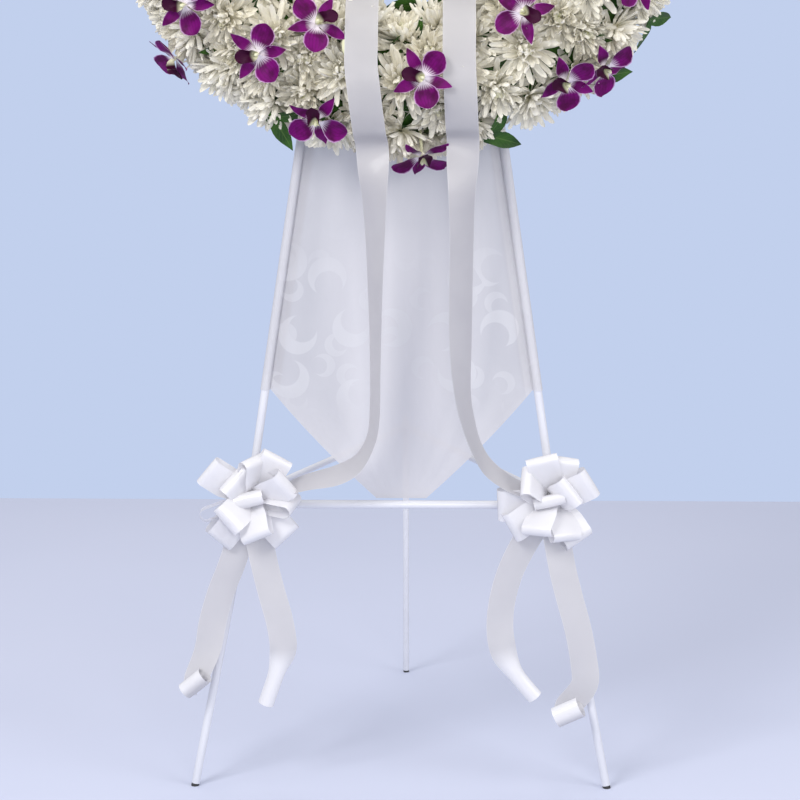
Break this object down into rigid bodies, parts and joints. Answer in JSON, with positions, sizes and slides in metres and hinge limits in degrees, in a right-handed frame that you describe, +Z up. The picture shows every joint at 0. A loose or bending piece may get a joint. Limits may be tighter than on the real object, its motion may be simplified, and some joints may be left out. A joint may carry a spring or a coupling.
{
  "type": "funeral flower stand",
  "caption": "White tripod flower stand that carries a round wreath of white chrysanthemums and purple orchids, with a sheer panel, two ribbons and bows.",
  "frame": {"origin": "on the floor under the middle of the whole stand", "axes": "+Z up, the front towards -Y, +X to the right as seen from the front"},
  "size_m": [0.7124, 0.4792, 1.4581],
  "materials": {
    "white_paint": "gloss",
    "dark_plastic": "matte",
    "tray_plastic": "matte",
    "wet_foam": "rough",
    "white_petals": "matte",
    "purple_petals": "soft",
    "green_leaves": "satin",
    "satin_ribbon": "satin",
    "organza": "sheer"
  },
  "bodies": {
    "root": {"lower_leg_left": "white_paint", "upright_left": "white_paint", "lower_leg_right": "white_paint", "upright_right": "white_paint", "crossbar": "white_paint", "back_leg": "white_paint", "brace_left": "white_paint", "brace_right": "white_paint", "top_arch": "white_paint", "foot_left": "dark_plastic", "foot_right": "dark_plastic", "foot_back": "dark_plastic", "hanger_hook": "white_paint", "tray": "tray_plastic", "foam_ring": "wet_foam", "chrysanthemums_1": "white_petals", "chrysanthemums_2": "white_petals", "chrysanthemums_3": "white_petals", "chrysanthemums_4": "white_petals", "chrysanthemums_5": "white_petals", "chrysanthemums_6": "white_petals", "chrysanthemums_7": "white_petals", "chrysanthemums_8": "white_petals", "orchid_a": "purple_petals", "orchid_b": "purple_petals", "orchid_c": "purple_petals", "orchid_d": "purple_petals", "orchid_e": "purple_petals", "orchid_f": "purple_petals", "orchid_g": "purple_petals", "orchid_h": "purple_petals", "orchid_i": "purple_petals", "orchid_upper_1": "purple_petals", "orchid_upper_2": "purple_petals", "orchid_upper_3": "purple_petals", "orchid_upper_4": "purple_petals", "orchid_upper_5": "purple_petals", "orchid_upper_6": "purple_petals", "orchid_upper_7": "purple_petals", "orchid_upper_8": "purple_petals", "orchid_upper_9": "purple_petals", "orchid_upper_10": "purple_petals", "orchid_upper_11": "purple_petals", "orchid_upper_12": "purple_petals", "leaves_1": "green_leaves", "leaves_2": "green_leaves", "leaves_3": "green_leaves", "leaves_4": "green_leaves", "leaves_5": "green_leaves", "leaves_6": "green_leaves", "leaves_7": "green_leaves", "leaves_8": "green_leaves", "ribbon_left": "satin_ribbon", "bow_left": "satin_ribbon", "ribbon_right": "satin_ribbon", "bow_right": "satin_ribbon", "sheer_panel": "organza"}
  },
  "joints": []
}
